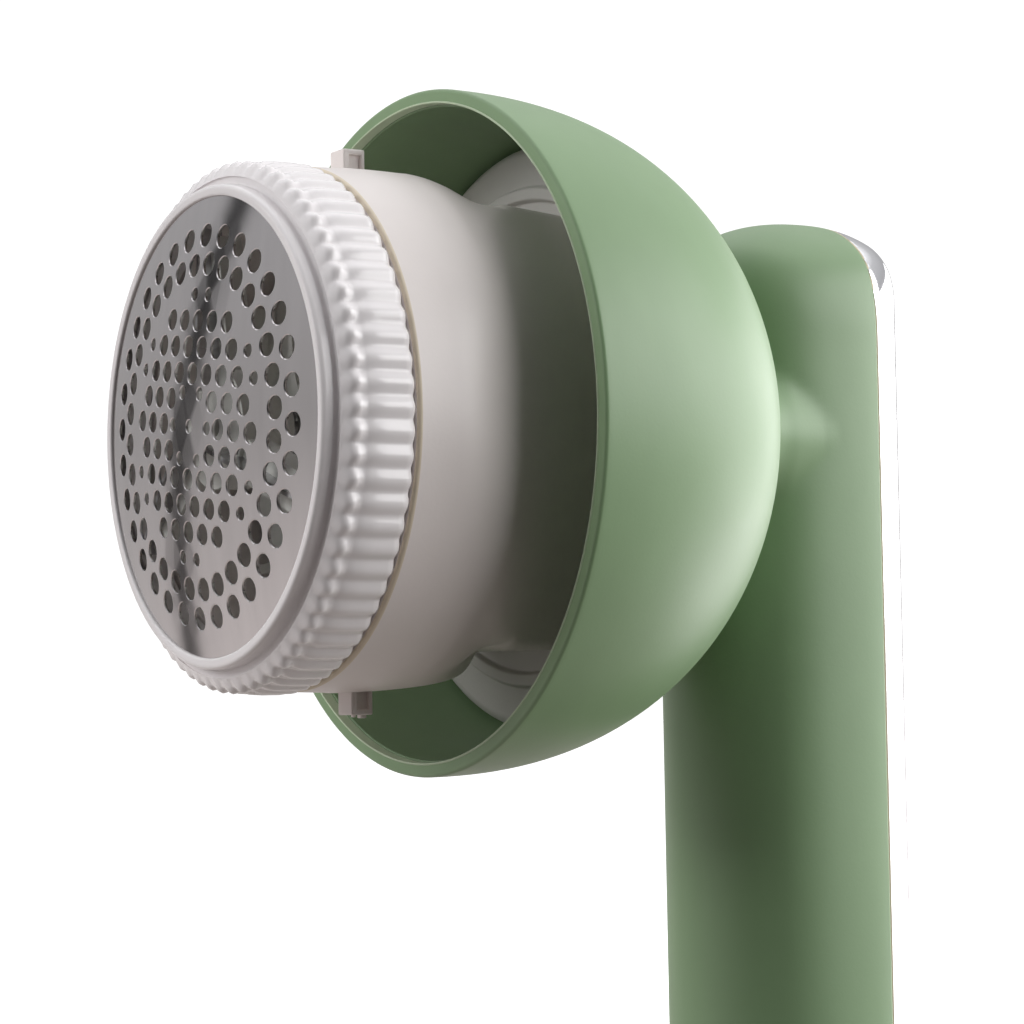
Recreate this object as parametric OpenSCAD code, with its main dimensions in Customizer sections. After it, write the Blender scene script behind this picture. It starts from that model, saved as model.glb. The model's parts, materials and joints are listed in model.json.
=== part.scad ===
// Cordless fabric shaver: an upright round handle that carries a round cutter
// head inside a bowl-shaped hood. Millimetres. The origin is the middle of the
// handle's flat foot, +Z runs up the handle and the foil faces -Y.

/* [Handle] */
// Height of the handle above its flat foot
handle_h = 168; // [160:1:180]
// Diameter of the handle's round section
handle_d = 28; // [28:0.5:30]
// Wall of the two handle shells
handle_wall = 1.8; // [1.5:0.1:2]
// Distance behind the handle's axis at which the two shells part
split_y = 5; // [4.6:0.1:6]
// Rounding of the handle's top corners, seen from the side
top_round = 8; // [6:0.5:10]
// Rounding of the edge around the foot
foot_round = 2; // [1:0.5:3]

/* [Head] */
// Height of the head's axis above the foot
head_z = 142; // [138:1:144]
// Distance from the foil's outer ring of holes back to the handle's axis
head_reach = 74.7; // [74.7:0.1:76]
// Outer radius of the bowl at its rim
bowl_r = 37.3; // [37:0.1:39]
// Wall of the bowl
bowl_wall = 1.8; // [1.6:0.1:2]
// Radius of the round plate inside the bowl
plate_r = 32.6; // [32:0.1:32.6]
// Outer radius of the collar behind the foil ring
collar_r = 27.9; // [27.6:0.1:28.2]
// Half height of the flat-topped neck
neck_half_h = 23.7; // [22:0.1:24]
// Half width of the neck
neck_half_w = 17; // [16:0.5:18]

/* [Foil and foil ring] */
// Radius of the domed foil's curve
foil_dome_r = 122; // [110:1:130]
// Thickness of the foil
foil_t = 0.35; // [0.3:0.05:0.4]
// Diameter of the holes in the two outer rings
ring_hole_d = 2.4; // [2:0.1:2.5]
// Diameter of the holes in the field
field_hole_d = 2.2; // [1.8:0.1:2.4]
// Diameter of the small holes
small_hole_d = 1.35; // [1:0.05:1.6]
// Spacing of the holes in the field
hole_pitch = 3.18; // [3.1:0.01:3.2]
// Number of ribs around the foil ring
rib_count = 72; // [48:12:96]
// Angle that the foil ring turns through to unlock
unlock_angle = 35; // [33:1:40]

/* [Drive] */
// Radius of the motor shaft
shaft_r = 1; // [0.9:0.05:1.2]
// Length of the motor can
motor_len = 22; // [20:0.5:23]
// Number of cutting blades
blade_count = 3; // [3:1:4]
// Tip radius of the blades
blade_tip_r = 21.2; // [20:0.1:21.6]
// Travel of the sprung blade carrier along the shaft
blade_travel = 0.8; // [0.5:0.1:1]
// Number of vanes on the suction fan
vane_count = 8; // [6:1:10]

/* [Power] */
// Diameter of the battery cell
cell_d = 14.2; // [14:0.1:14.4]
// Length of the battery cell
cell_len = 50; // [48:1:50]
// Height of the power button's centre above the foot
button_z = 69; // [60:1:76]
// Width of the power button
button_w = 10; // [9:0.5:10]
// Height of the power button
button_h = 20; // [18:1:20]
// Travel of the power button
button_travel = 0.6; // [0.4:0.1:0.6]

/* [Hidden] */

$fn = 96;
gap = 0.3;             // clearance between pieces that move apart
running = 0.05;        // radial clearance of a shaft in its bore
past = 1;              // how far a cutting shape runs past what it cuts
screw_r = 1.1;
screw_head_r = 2.1;
screw_head_h = 1.4;

// handle
handle_r = handle_d / 2;
cavity_r = handle_r - handle_wall;
stem_r = 9.5;
stem_flare_r = 12.3;
stem_flare_t = 9.7;
stem_bore_r = 4.6;
bowl_screw_pcr = 7.2;
ledge_x = cavity_r - 2.05;
base_cap_h = 3;
base_boss_y = -9.2;
base_boss_r = 3.2;
cap_recess = 1.9;

// stations along the head's axis, counted back from the foil's hole ring
bowl_rim_t = 25.65;
bowl_depth = 38.2;     // of the full dome, whose back is cut off flat
bowl_power = 2.3;      // 2 is an ellipse, more is squarer
bowl_back_t = 58.5;
bowl_steps = 22;
bowl_inner_back_t = bowl_back_t - bowl_wall;
ring_front_t = 2.3;
ring_back_t = 9.6;
collar_front_t = ring_back_t + gap;
collar_back_t = 33;
plate_front_t = 40;
plate_t = 2;
plate_back_t = plate_front_t + plate_t;
plate_screw_x = 29.9;
plate_boss_h = 6;
neck_screw_x = 12.6;
neck_screw_y = 19.2;
post_r = 2.4;
mount_front_t = 20;
mount_t = 2;
motor_front_t = mount_front_t + mount_t;
motor_back_t = motor_front_t + motor_len;
hole_ring_r = 20;
hole_ring_2_r = 17;
hole_ring_count = 32;
hole_ring_start = 3.6;
field_turn = 7.3;
centre_ring_r = 4;
foil_centre_t = sqrt(pow(foil_dome_r, 2) - pow(hole_ring_r, 2));
foil_edge_r = 24.1;
flange_r = 24.7;
flange_t = 1.1;
ring_bore_r = 25.65;    // of the part that slides over the housing's spigot
chamber_r = 22.3;      // bore of the head housing's lint chamber
spigot_r = 24.2;
spigot_front_t = 4.9;
bayonet_w = unlock_angle - 7;   // angle that each bayonet tooth spans
bayonet_count = 3;
motor_r = 10;
motor_flat = 7.6;
motor_wall = 0.6;
bush_r = 3;
carrier_back_t = 9;
spring_wire_r = 0.35;
spring_turns = 3;
spring_shut = 2 * spring_wire_r * (spring_turns + 1);
fan_hub_t = carrier_back_t + blade_travel + spring_shut;

// power
cell_y = -4.2;
cell_z = 30;
board_y = 4.4;
board_t = 1.2;
board_back_y = board_y + board_t;
board_w = 17;
board_z = 6;
board_h = 94;
switch_top_y = board_back_y + 3;
plunger_tip_y = switch_top_y + 1;
button_back_y = plunger_tip_y + gap;
led_z = 92;
usb_w = 8.9;
usb_t = 3.2;
usb_len = 7.3;

function bowl_radius(t, inset) = (bowl_r - inset)
    * pow(1 - pow((t - bowl_rim_t) / (bowl_depth - inset), bowl_power), 1 / bowl_power);

function bowl_side(inset, back) = [for (i = [0:bowl_steps])
    let (t = bowl_rim_t + (back - bowl_rim_t) * sin(90 * i / bowl_steps))
    [bowl_radius(t, inset), t]];

// Puts a shape drawn about the head's axis in place: z runs back from the
// foil's hole ring, x stays and -y is up.
module head_frame() {
    translate([0, -head_reach, head_z]) rotate([-90, 0, 0]) children();
}

// A disc or tube between two stations on its own axis.
module tube(r_out, r_in, z0, z1) {
    translate([0, 0, z0]) difference() {
        cylinder(r = r_out, h = z1 - z0);
        translate([0, 0, -past]) cylinder(r = r_in, h = z1 - z0 + 2 * past);
    }
}

module disc(r, z0, z1) {
    translate([0, 0, z0]) cylinder(r = r, h = z1 - z0);
}

// A block between two corners.
module block(low, high) {
    translate(low) cube(high - low);
}

function unit(v) = v / norm(v);

// The corners of a round section set square to a path at one of its points.
function sweep_ring(path, i, r, side, sides) =
    let (last = len(path) - 1,
        along = unit(path[min(i + 1, last)] - path[max(i - 1, 0)]),
        across = unit(cross(along, side)), up = cross(across, along))
    [for (j = [0:sides - 1]) let (a = 360 * j / sides)
        path[i] + r * (cos(a) * across + sin(a) * up)];

// A wire swept along a path. The path never runs along the direction side.
module wire(path, r, side, sides = 8) {
    last = len(path) - 1;
    points = [for (i = [0:last]) each sweep_ring(path, i, r, side, sides)];
    walls = [for (i = [0:last - 1]) for (j = [0:sides - 1])
        let (k = (j + 1) % sides)
        [i * sides + j, i * sides + k, (i + 1) * sides + k, (i + 1) * sides + j]];
    ends = [[for (j = [sides - 1:-1:0]) j], [for (j = [0:sides - 1]) last * sides + j]];
    polyhedron(points, concat(walls, ends));
}

// A pan-head screw whose head lies in front of z = 0 and whose shank runs back.
module screw(shank) {
    difference() {
        union() {
            disc(screw_head_r, -screw_head_h, 0);
            disc(screw_r, -0.1, shank);
        }
        for (turn = [0, 90])
            rotate([0, 0, turn])
                block([-1.3, -0.3, -screw_head_h - past], [1.3, 0.3, -screw_head_h + 0.7]);
    }
}

// The handle's outside, drawn in by an inset all round: a round post under a
// round-topped arch, with its top corners rounded from the side.
module handle_form(inset) {
    r = handle_r - inset;
    top = handle_h - inset;
    corner = top_round - inset;
    intersection() {
        cylinder(r = r, h = top);
        translate([0, handle_r, 0]) rotate([90, 0, 0]) linear_extrude(height = handle_d)
            union() {
                translate([-r, -past]) square([2 * r, top - r + past]);
                translate([0, top - r]) circle(r = r);
            }
        translate([-handle_r, 0, 0]) rotate([90, 0, 90]) linear_extrude(height = handle_d)
            union() {
                translate([-r, -past]) square([2 * r, top - corner + past]);
                translate([corner - r, -past]) square([2 * (r - corner), top + past]);
                for (side = [-1, 1])
                    translate([side * (r - corner), top - corner]) circle(r = corner);
            }
    }
}

// The round-edged ring that trims the handle's foot.
module foot_trim() {
    rotate_extrude() difference() {
        translate([handle_r - foot_round, -past]) square([foot_round + past, foot_round + past]);
        translate([handle_r - foot_round, foot_round]) circle(r = foot_round);
    }
}

module handle_shell_form() {
    difference() {
        handle_form(0);
        handle_form(handle_wall);
        translate([0, 0, -past]) cylinder(r = cavity_r, h = 2 * past);
        foot_trim();
    }
}

// The short neck that joins the bowl's back to the handle.
module stem_form() {
    head_frame() rotate_extrude() polygon([
        [0, bowl_back_t],
        for (i = [0:6]) [stem_r + (stem_flare_r - stem_r) * (1 - cos(15 * i)),
            bowl_back_t + stem_flare_t * sin(15 * i)],
        [0, bowl_back_t + stem_flare_t]]);
}

module handle_front_shell() {
    color([0.46, 0.58, 0.44]) difference() {
        union() {
            intersection() {
                handle_shell_form();
                block([-handle_d, -handle_d, -past], [handle_d, split_y, handle_h + past]);
            }
            difference() {
                stem_form();
                cylinder(r = cavity_r, h = handle_h);
            }
            intersection() {
                translate([0, base_boss_y, base_cap_h]) cylinder(r = base_boss_r, h = 10);
                cylinder(r = cavity_r + 0.1, h = handle_h);
            }
        }
        head_frame() disc(stem_bore_r, bowl_back_t - past, head_reach);
        head_frame() for (i = [0:2])
            rotate([0, 0, 120 * i + 30]) translate([bowl_screw_pcr, 0, 0])
                disc(screw_r, bowl_back_t - past, bowl_back_t + 4);
        translate([0, base_boss_y, 0]) cylinder(r = screw_r, h = 12);
    }
}

module handle_back_cover() {
    color([0.86, 0.86, 0.88]) difference() {
        union() {
            intersection() {
                handle_shell_form();
                block([-handle_d, split_y, -past], [handle_d, handle_d, handle_h + past]);
            }
            // ledges inside the seam that the front shell clips on to
            for (side = [-1, 1])
                for (z = [24, 50, 84, 110])
                    block([side * ledge_x - 0.85, split_y - 1.8, z],
                        [side * ledge_x + 0.85, split_y + 2, z + 6]);
        }
        translate([0, cavity_r - 3, button_z]) rotate([-90, 0, 0])
            pill(button_w + 2 * gap, button_h + 2 * gap, handle_wall + 4);
        translate([0, cavity_r - past, led_z]) rotate([-90, 0, 0]) cylinder(r = 1.5, h = 5);
    }
}

// A slot-shaped block that stands on z = 0, long along y.
module pill(w, h, depth) {
    for (side = [-1, 1])
        translate([0, side * (h - w) / 2, 0]) cylinder(r = w / 2, h = depth);
    block([-w / 2, -(h - w) / 2, 0], [w / 2, (h - w) / 2, depth]);
}

module base_cap() {
    color([0.46, 0.58, 0.44]) difference() {
        disc(cavity_r - 0.05, 0, base_cap_h - 0.05);
        translate([0, board_y - usb_t / 2, -past]) rotate([0, 0, 90])
            pill(usb_t + 0.3, usb_w + 0.3, base_cap_h + 2 * past);
        translate([0, base_boss_y, -past]) cylinder(r = screw_r + 0.2, h = 6);
        translate([0, base_boss_y, -past]) cylinder(r = screw_head_r + 0.3, h = past + cap_recess);
    }
}

module base_screw() {
    color("silver") translate([0, base_boss_y, cap_recess]) screw(8);
}

module bowl_solid(inset, back) {
    rotate_extrude() polygon(concat([[0, bowl_rim_t]], bowl_side(inset, back), [[0, back]]));
}

module bowl_shell() {
    color([0.5, 0.62, 0.47]) head_frame() difference() {
        union() {
            difference() {
                bowl_solid(0, bowl_back_t);
                bowl_solid(bowl_wall, bowl_inner_back_t);
                // stepped lip inside the rim
                disc(bowl_r - 1.3, bowl_rim_t - past, bowl_rim_t + 1.2);
            }
            intersection() {
                bowl_solid(0.5, bowl_back_t);
                for (side = [-1, 1])
                    translate([side * plate_screw_x, 0, 0]) disc(2.6, plate_back_t, plate_back_t + plate_boss_h);
            }
        }
        disc(stem_bore_r, bowl_inner_back_t - past, bowl_back_t + past);
        for (i = [0:2])
            rotate([0, 0, 120 * i + 30]) translate([bowl_screw_pcr, 0, 0])
                disc(screw_r + 0.2, bowl_inner_back_t - past, bowl_back_t + past);
        for (side = [-1, 1])
            translate([side * plate_screw_x, 0, 0]) disc(screw_r, plate_back_t - past, plate_back_t + 5);
    }
}

module bowl_screws() {
    color("silver") head_frame() for (i = [0:2])
        rotate([0, 0, 120 * i + 30]) translate([bowl_screw_pcr, 0, bowl_inner_back_t]) screw(5);
}

module inner_plate() {
    color([0.84, 0.84, 0.82]) head_frame() difference() {
        union() {
            disc(plate_r, plate_front_t, plate_back_t);
            // raised step around the neck
            tube(27.6, 26.1, plate_front_t - 0.8, plate_front_t);
        }
        disc(11.5, plate_front_t - past, plate_back_t + past);
        for (side = [-1, 1]) {
            translate([side * plate_screw_x, 0, 0])
                disc(screw_r + 0.2, plate_front_t - past, plate_back_t + past);
            for (up = [-1, 1])
                translate([side * neck_screw_x, up * neck_screw_y, 0])
                    disc(screw_r + 0.2, plate_front_t - past, plate_back_t + past);
        }
    }
}

module plate_screws() {
    color("silver") head_frame() for (side = [-1, 1])
        translate([side * plate_screw_x, 0, plate_front_t]) screw(6);
}

// The neck's cross-section: a slab with rounded corners.
module neck_section(inset) {
    corner = 8 - inset;
    w = neck_half_w - inset;
    h = neck_half_h - inset;
    union() {
        translate([-w, corner - h]) square([2 * w, 2 * (h - corner)]);
        translate([corner - w, -h]) square([2 * (w - corner), 2 * h]);
        for (x = [-1, 1]) for (y = [-1, 1])
            translate([x * (w - corner), y * (h - corner)]) circle(r = corner);
    }
}

module head_housing() {
    wall = 1.9;
    color([0.93, 0.91, 0.87]) head_frame() difference() {
        union() {
            rotate_extrude() polygon([
                [0, spigot_front_t], [spigot_r, spigot_front_t], [spigot_r, collar_front_t],
                [collar_r, collar_front_t], [collar_r + 0.3, 26], [collar_r - 0.7, 30],
                [collar_r - 1.7, 31.5], [collar_r - 3.2, 32.5], [collar_r - 5.3, collar_back_t],
                [0, collar_back_t]]);
            translate([0, 0, 28]) linear_extrude(height = plate_front_t - 28) neck_section(0);
            for (i = [0:bayonet_count - 1])
                rotate([0, 0, 120 * i]) bayonet_tooth(spigot_r - 0.5, 25.3, 5.3, 7.4);
            // cap lugs at the top and bottom of the collar
            for (up = [-1, 1])
                block([-1.5, up * 28.85 - 1.5, 16.4], [1.5, up * 28.85 + 1.5, 19]);
        }
        disc(chamber_r, spigot_front_t - past, motor_front_t);
        difference() {
            translate([0, 0, motor_front_t - 0.1])
                linear_extrude(height = plate_front_t - motor_front_t + past) neck_section(wall);
            for (x = [-1, 1]) for (y = [-1, 1])
                translate([x * neck_screw_x, y * neck_screw_y, 0])
                    disc(post_r, 30, plate_front_t + past);
        }
        for (x = [-1, 1]) for (y = [-1, 1])
            translate([x * neck_screw_x, y * neck_screw_y, 0])
                disc(screw_r, plate_front_t - 7, plate_front_t + past);
        // a shallow pocket in each side of both lugs
        for (up = [-1, 1]) for (side = [-1, 1])
            block([side * 1.5 - 0.5, up * 29.05 - 0.7, 17.1],
                [side * 1.5 + 0.5, up * 29.05 + 0.7, 18.5]);
    }
}

module neck_screws() {
    color("silver") head_frame() for (x = [-1, 1]) for (y = [-1, 1])
        translate([x * neck_screw_x, y * neck_screw_y, plate_back_t]) mirror([0, 0, 1]) screw(7);
}

// One tooth of the bayonet: a ring sector between two radii and two stations.
module bayonet_tooth(r_in, r_out, z0, z1) {
    half = bayonet_w / 2;
    reach = 2 * r_out;
    intersection() {
        tube(r_out, r_in, z0, z1);
        translate([0, 0, z0 - past]) linear_extrude(height = z1 - z0 + 2 * past)
            polygon([[0, 0], reach * [cos(half), -sin(half)], reach * [cos(half), sin(half)]]);
    }
}

module motor_mount() {
    color([0.9, 0.9, 0.88]) head_frame() difference() {
        union() {
            disc(chamber_r - 0.02, mount_front_t, mount_front_t + mount_t);
            tube(chamber_r - 0.02, chamber_r - 1.6, mount_front_t - 2, mount_front_t);
        }
        disc(bush_r + 0.1, mount_front_t - past, mount_front_t + mount_t + past);
        for (side = [-1, 1])
            translate([0, side * 6.5, 0])
                disc(screw_r + 0.1, mount_front_t - past, mount_front_t + mount_t + past);
    }
}

module motor_screws() {
    color("silver") head_frame() for (side = [-1, 1])
        translate([0, side * 6.5, mount_front_t]) screw(mount_t + motor_wall);
}

// The motor's cross-section: a circle with two flats.
module motor_section(inset) {
    intersection() {
        circle(r = motor_r - inset);
        square([2 * (motor_flat - inset), 2 * motor_r], center = true);
    }
}

module motor_can() {
    color([0.74, 0.75, 0.77]) head_frame() difference() {
        translate([0, 0, motor_front_t]) linear_extrude(height = motor_len) motor_section(0);
        translate([0, 0, motor_front_t + motor_wall]) linear_extrude(height = motor_len)
            motor_section(motor_wall);
        disc(bush_r, motor_front_t - past, motor_front_t + past);
        for (side = [-1, 1])
            translate([0, side * 6.5, 0]) disc(screw_r + 0.05, motor_front_t - past, motor_front_t + past);
    }
}

module motor_bush() {
    color([0.72, 0.6, 0.35]) head_frame()
        tube(bush_r - 0.02, shaft_r + running, mount_front_t + 0.4, motor_front_t + 2);
}

module motor_magnets() {
    color([0.2, 0.2, 0.22]) head_frame() difference() {
        tube(motor_r - motor_wall - 0.05, 7.4, motor_front_t + 4, motor_back_t - 5);
        for (side = [-1, 1])
            translate([side * (5.6 + motor_r / 2), 0, motor_front_t + motor_len / 2])
                cube([motor_r, 2 * motor_r, motor_len], center = true);
    }
}

module motor_end_cap() {
    color([0.93, 0.93, 0.9]) head_frame() difference() {
        translate([0, 0, motor_back_t]) linear_extrude(height = 2.4) motor_section(0.2);
        disc(shaft_r + running, motor_back_t - past, motor_back_t + 1.6);
        for (side = [-1, 1])
            block([side * 5 - 0.35, -1.3, motor_back_t - past], [side * 5 + 0.35, 1.3, motor_back_t + 4]);
    }
}

module motor_terminals() {
    color([0.8, 0.65, 0.3]) head_frame() for (side = [-1, 1])
        difference() {
            block([side * 5 - 0.25, -1.2, motor_back_t - 0.6], [side * 5 + 0.25, 1.2, motor_back_t + 5.4]);
            translate([side * 5 - past, 0, motor_back_t + 4]) rotate([0, 90, 0])
                cylinder(r = 0.6, h = 2 * past);
        }
}

module motor_shaft() {
    color("silver") head_frame() disc(shaft_r, 2.4, motor_back_t + 1.4);
}

module motor_armature() {
    color([0.6, 0.42, 0.25]) head_frame() difference() {
        disc(6.6, motor_front_t + 5, motor_back_t - 6);
        disc(shaft_r, motor_front_t, motor_back_t);
        for (i = [0:2])
            rotate([0, 0, 120 * i]) translate([6.4, 0, 0])
                disc(1.6, motor_front_t + 5 - past, motor_back_t - 6 + past);
    }
}

module commutator() {
    color([0.8, 0.5, 0.3]) head_frame() tube(2.6, shaft_r, motor_back_t - 5, motor_back_t - 1.5);
}

module suction_fan() {
    fan_r = 20;
    color([0.92, 0.92, 0.9]) head_frame() difference() {
        union() {
            disc(fan_r, 16, 17);
            disc(3.6, fan_hub_t, 17);
            for (i = [0:vane_count - 1])
                rotate([0, 0, 360 / vane_count * i]) intersection() {
                    translate([10, 8, 0]) tube(13.4, 12.4, 13, 16.5);
                    disc(fan_r, 12, 17);
                    block([2.6, -fan_r, 12], [fan_r, 3, 17]);
                }
        }
        disc(shaft_r, 12, 18);
    }
}

module blade_spring() {
    coil_r = 2.6;
    steps = 16 * spring_turns;
    front_t = carrier_back_t + spring_wire_r + 0.1;
    back_t = fan_hub_t - spring_wire_r - 0.1;
    color("silver") head_frame()
        wire([for (i = [0:steps]) let (a = 360 * spring_turns * i / steps)
            [coil_r * cos(a), coil_r * sin(a), front_t + (back_t - front_t) * i / steps]],
            spring_wire_r, [0, 0, 1]);
}

// The ball-shaped front that the blades are ground to, just behind the foil.
module blade_envelope() {
    translate([0, 0, foil_centre_t]) sphere(r = foil_dome_r - foil_t - gap - 0.05, $fn = 200);
}

module blade_strips(thick) {
    for (i = [0:blade_count - 1])
        rotate([0, 0, 360 / blade_count * i + 20])
            translate([0, 1.6, 0]) block([3.4, -thick / 2, -2], [blade_tip_r, thick / 2, 3.4]);
}

module blade_carrier() {
    color([0.95, 0.95, 0.93]) head_frame() difference() {
        union() {
            disc(6.5, 1.4, 5);
            disc(3.4, 4, carrier_back_t);
            for (i = [0:blade_count - 1])
                rotate([0, 0, 360 / blade_count * i + 20])
                    block([0, -0.6, 1.8], [blade_tip_r - 1.4, 3.8, 4.6]);
        }
        disc(shaft_r + running, -past, carrier_back_t + past);
        blade_strips(0.5);
    }
}

module shaving_blades() {
    color([0.8, 0.81, 0.83]) head_frame() intersection() {
        blade_strips(0.5);
        blade_envelope();
    }
}

// The foil ring's outline with one shallow rib per step.
function rib_outline(r, depth) = [for (i = [0:4 * rib_count - 1])
    let (a = 90 * i / rib_count)
    (r + depth * (1 - cos(90 * i)) / 2) * [cos(a), sin(a)]];

module foil_ring() {
    color([0.97, 0.96, 0.95]) head_frame() {
        difference() {
            union() {
                rotate_extrude() polygon([
                    [0, flange_t], [24.1, flange_t], [24.1, 0.75], [24.4, 0.5], [25, 0.5],
                    [25.3, 0.8], [25.3, ring_front_t], [27.2, ring_front_t],
                    [27.5, 3], [27.5, ring_back_t], [0, ring_back_t]]);
                translate([0, 0, 3]) linear_extrude(height = 2) polygon(rib_outline(27.6, 0.6));
                translate([0, 0, 5]) linear_extrude(height = ring_back_t - 5)
                    polygon(rib_outline(27.6, 0.4));
            }
            disc(24.1, 0, flange_t + 0.1);
            disc(flange_r, flange_t, ring_back_t);
            disc(ring_bore_r, spigot_front_t - gap, ring_back_t + past);
        }
        for (i = [0:bayonet_count - 1])
            rotate([0, 0, 120 * i]) bayonet_tooth(spigot_r + gap, ring_bore_r + 0.3, 7.7, 9.3);
    }
}

// Places a copy of a hole at every node of one shell of the hexagonal field.
module hex_shell(n) {
    for (side = [0:5])
        for (k = [0:n - 1])
            rotate([0, 0, 60 * side - field_turn])
                translate([n * hole_pitch - k * hole_pitch / 2, k * hole_pitch * sqrt(3) / 2, 0])
                    children();
}

module foil_holes() {
    for (i = [0:hole_ring_count - 1])
        rotate([0, 0, 360 / hole_ring_count * i - 90 + hole_ring_start]) {
            translate([hole_ring_r, 0, 0]) cylinder(r = ring_hole_d / 2, h = 8, center = true, $fn = 24);
            rotate([0, 0, 180 / hole_ring_count]) translate([hole_ring_2_r, 0, 0])
                cylinder(r = ring_hole_d / 2, h = 8, center = true, $fn = 24);
        }
    for (n = [2:4])
        hex_shell(n) cylinder(r = field_hole_d / 2, h = 8, center = true, $fn = 24);
    cylinder(r = small_hole_d / 2, h = 8, center = true, $fn = 24);
    for (side = [0:5])
        rotate([0, 0, 60 * side - field_turn]) {
            translate([centre_ring_r, 0, 0])
                cylinder(r = small_hole_d / 2, h = 8, center = true, $fn = 24);
            for (k = [2, 3])
                translate([5 * hole_pitch - k * hole_pitch / 2, k * hole_pitch * sqrt(3) / 2, 0])
                    cylinder(r = small_hole_d / 2, h = 8, center = true, $fn = 24);
        }
}

module shaving_foil() {
    color([0.8, 0.79, 0.79]) head_frame() difference() {
        union() {
            intersection() {
                difference() {
                    translate([0, 0, foil_centre_t]) sphere(r = foil_dome_r, $fn = 200);
                    translate([0, 0, foil_centre_t]) sphere(r = foil_dome_r - foil_t, $fn = 200);
                }
                disc(foil_edge_r, -4, 4);
            }
            tube(flange_r, foil_edge_r - 0.5, flange_t, flange_t + 0.4);
        }
        foil_holes();
    }
}

module foil_retainer() {
    color([0.9, 0.9, 0.88]) head_frame() tube(flange_r, 22.4, flange_t + 0.4, spigot_front_t - 0.5);
}

module battery_cell() {
    color([0.25, 0.4, 0.65]) translate([0, cell_y, cell_z]) {
        cylinder(r = cell_d / 2, h = cell_len - 1);
        cylinder(r = 2.6, h = cell_len);
    }
}

module battery_tray() {
    color([0.16, 0.16, 0.17]) translate([0, cell_y, 0]) difference() {
        disc(cell_d / 2 + 0.85, cell_z - 2.2, cell_z + cell_len + 2.2);
        disc(cell_d / 2 + 0.1, cell_z - 0.7, cell_z + cell_len + 0.7);
        block([-cell_d, 1.5, 0], [cell_d, cell_d, handle_h]);
        block([-cell_d, -2, cell_z + 14], [cell_d, cell_d, cell_z + cell_len - 14]);
    }
}

module battery_tabs() {
    color([0.82, 0.8, 0.72]) translate([0, cell_y, 0]) {
        block([-2.5, -2.5, cell_z - 0.5], [2.5, 7.2, cell_z]);
        block([-2.5, -2.5, cell_z + cell_len], [2.5, 7.2, cell_z + cell_len + 0.5]);
    }
}

// A lead from a battery tab to the board, above (1) or below (-1) the cell.
module battery_lead(tab_z, way, wire_r, bend_y) {
    route = [[cell_y + 4.6, 0.65], [cell_y + 5.4, 0.65], [bend_y - 0.8, 1.2], [bend_y, 3],
        [bend_y, 8], [bend_y + 0.4, 9.2], [board_y - 0.5, 9.6], [board_y, 9.6]];
    wire([for (p = route) [0, p[0], tab_z + way * p[1]]], wire_r, [1, 0, 0]);
}

module battery_leads() {
    wire_r = 0.6;
    bend_y = board_y - 2 * wire_r;
    top = cell_z + cell_len + 0.5;
    low = cell_z - 0.5;
    color("firebrick") {
        battery_lead(top, 1, wire_r, bend_y);
        battery_lead(low, -1, wire_r, bend_y);
    }
}

module motor_leads() {
    wire_r = 0.6;
    start_y = motor_back_t + 5.4 - head_reach;
    stem_y = bowl_inner_back_t - head_reach;
    color("firebrick") for (side = [-1, 1])
        wire([[side * 5, start_y, head_z], [side * 4, start_y + 4, head_z],
            [side * 2, stem_y - 1, head_z], [side * 2, stem_y + 5, head_z],
            [side * 2, -5, head_z - 1], [side * 2.5, -1, head_z - 5],
            [side * 3, 1, head_z - 11], [side * 3, board_y - 2, board_z + board_h + 4],
            [side * 3, board_y - 1.6, board_z + board_h - 3],
            [side * 3, board_y - 0.6, board_z + board_h - 5],
            [side * 3, board_y, board_z + board_h - 5]], wire_r, [1, 0, 0]);
}

module circuit_board() {
    color([0.12, 0.38, 0.2]) difference() {
        block([-board_w / 2, board_y, board_z], [board_w / 2, board_back_y, board_z + board_h]);
        for (z = [board_z + 22, board_z + board_h - 12])
            translate([0, board_y - past, z]) rotate([-90, 0, 0]) cylinder(r = 1.1, h = 4);
    }
}

module board_components() {
    color([0.14, 0.14, 0.15]) {
        block([-2.5, board_back_y, 38], [2.5, board_back_y + 1.5, 43]);
        block([-2, board_back_y, 48], [2, board_back_y + 1.2, 51]);
        block([3, board_back_y, 46], [6, board_back_y + 2, 49]);
        block([-6.5, board_back_y, 46], [-3.5, board_back_y + 2, 49]);
        for (i = [0:3])
            block([-6 + 3.5 * i, board_back_y, 55], [-4.4 + 3.5 * i, board_back_y + 0.6, 55.8]);
    }
}

module usb_socket() {
    color("silver") translate([0, board_y - usb_t / 2, 0.5]) rotate([0, 0, 90]) difference() {
        pill(usb_t, usb_w, usb_len);
        translate([0, 0, -past]) pill(usb_t - 0.6, usb_w - 0.6, usb_len);
    }
}

module charge_led() {
    color("white") block([-1.5, board_back_y, led_z - 0.8], [1.5, board_back_y + 1.2, led_z + 0.8]);
}

module light_pipe() {
    color([0.9, 0.95, 0.9]) intersection() {
        translate([0, board_back_y + 1.5, led_z]) rotate([-90, 0, 0]) cylinder(r = 1.45, h = 10);
        cylinder(r = handle_r, h = handle_h);
    }
}

module tact_switch() {
    color([0.15, 0.15, 0.16]) difference() {
        block([-3, board_back_y, button_z - 3], [3, switch_top_y, button_z + 3]);
        translate([0, board_back_y + 1, button_z]) rotate([-90, 0, 0]) cylinder(r = 1.68, h = 4);
    }
}

module switch_plunger() {
    color([0.7, 0.7, 0.68]) translate([0, board_back_y + 1 + button_travel + gap, button_z])
        rotate([-90, 0, 0]) cylinder(r = 1.6, h = plunger_tip_y - board_back_y - 1 - button_travel - gap);
}

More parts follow.
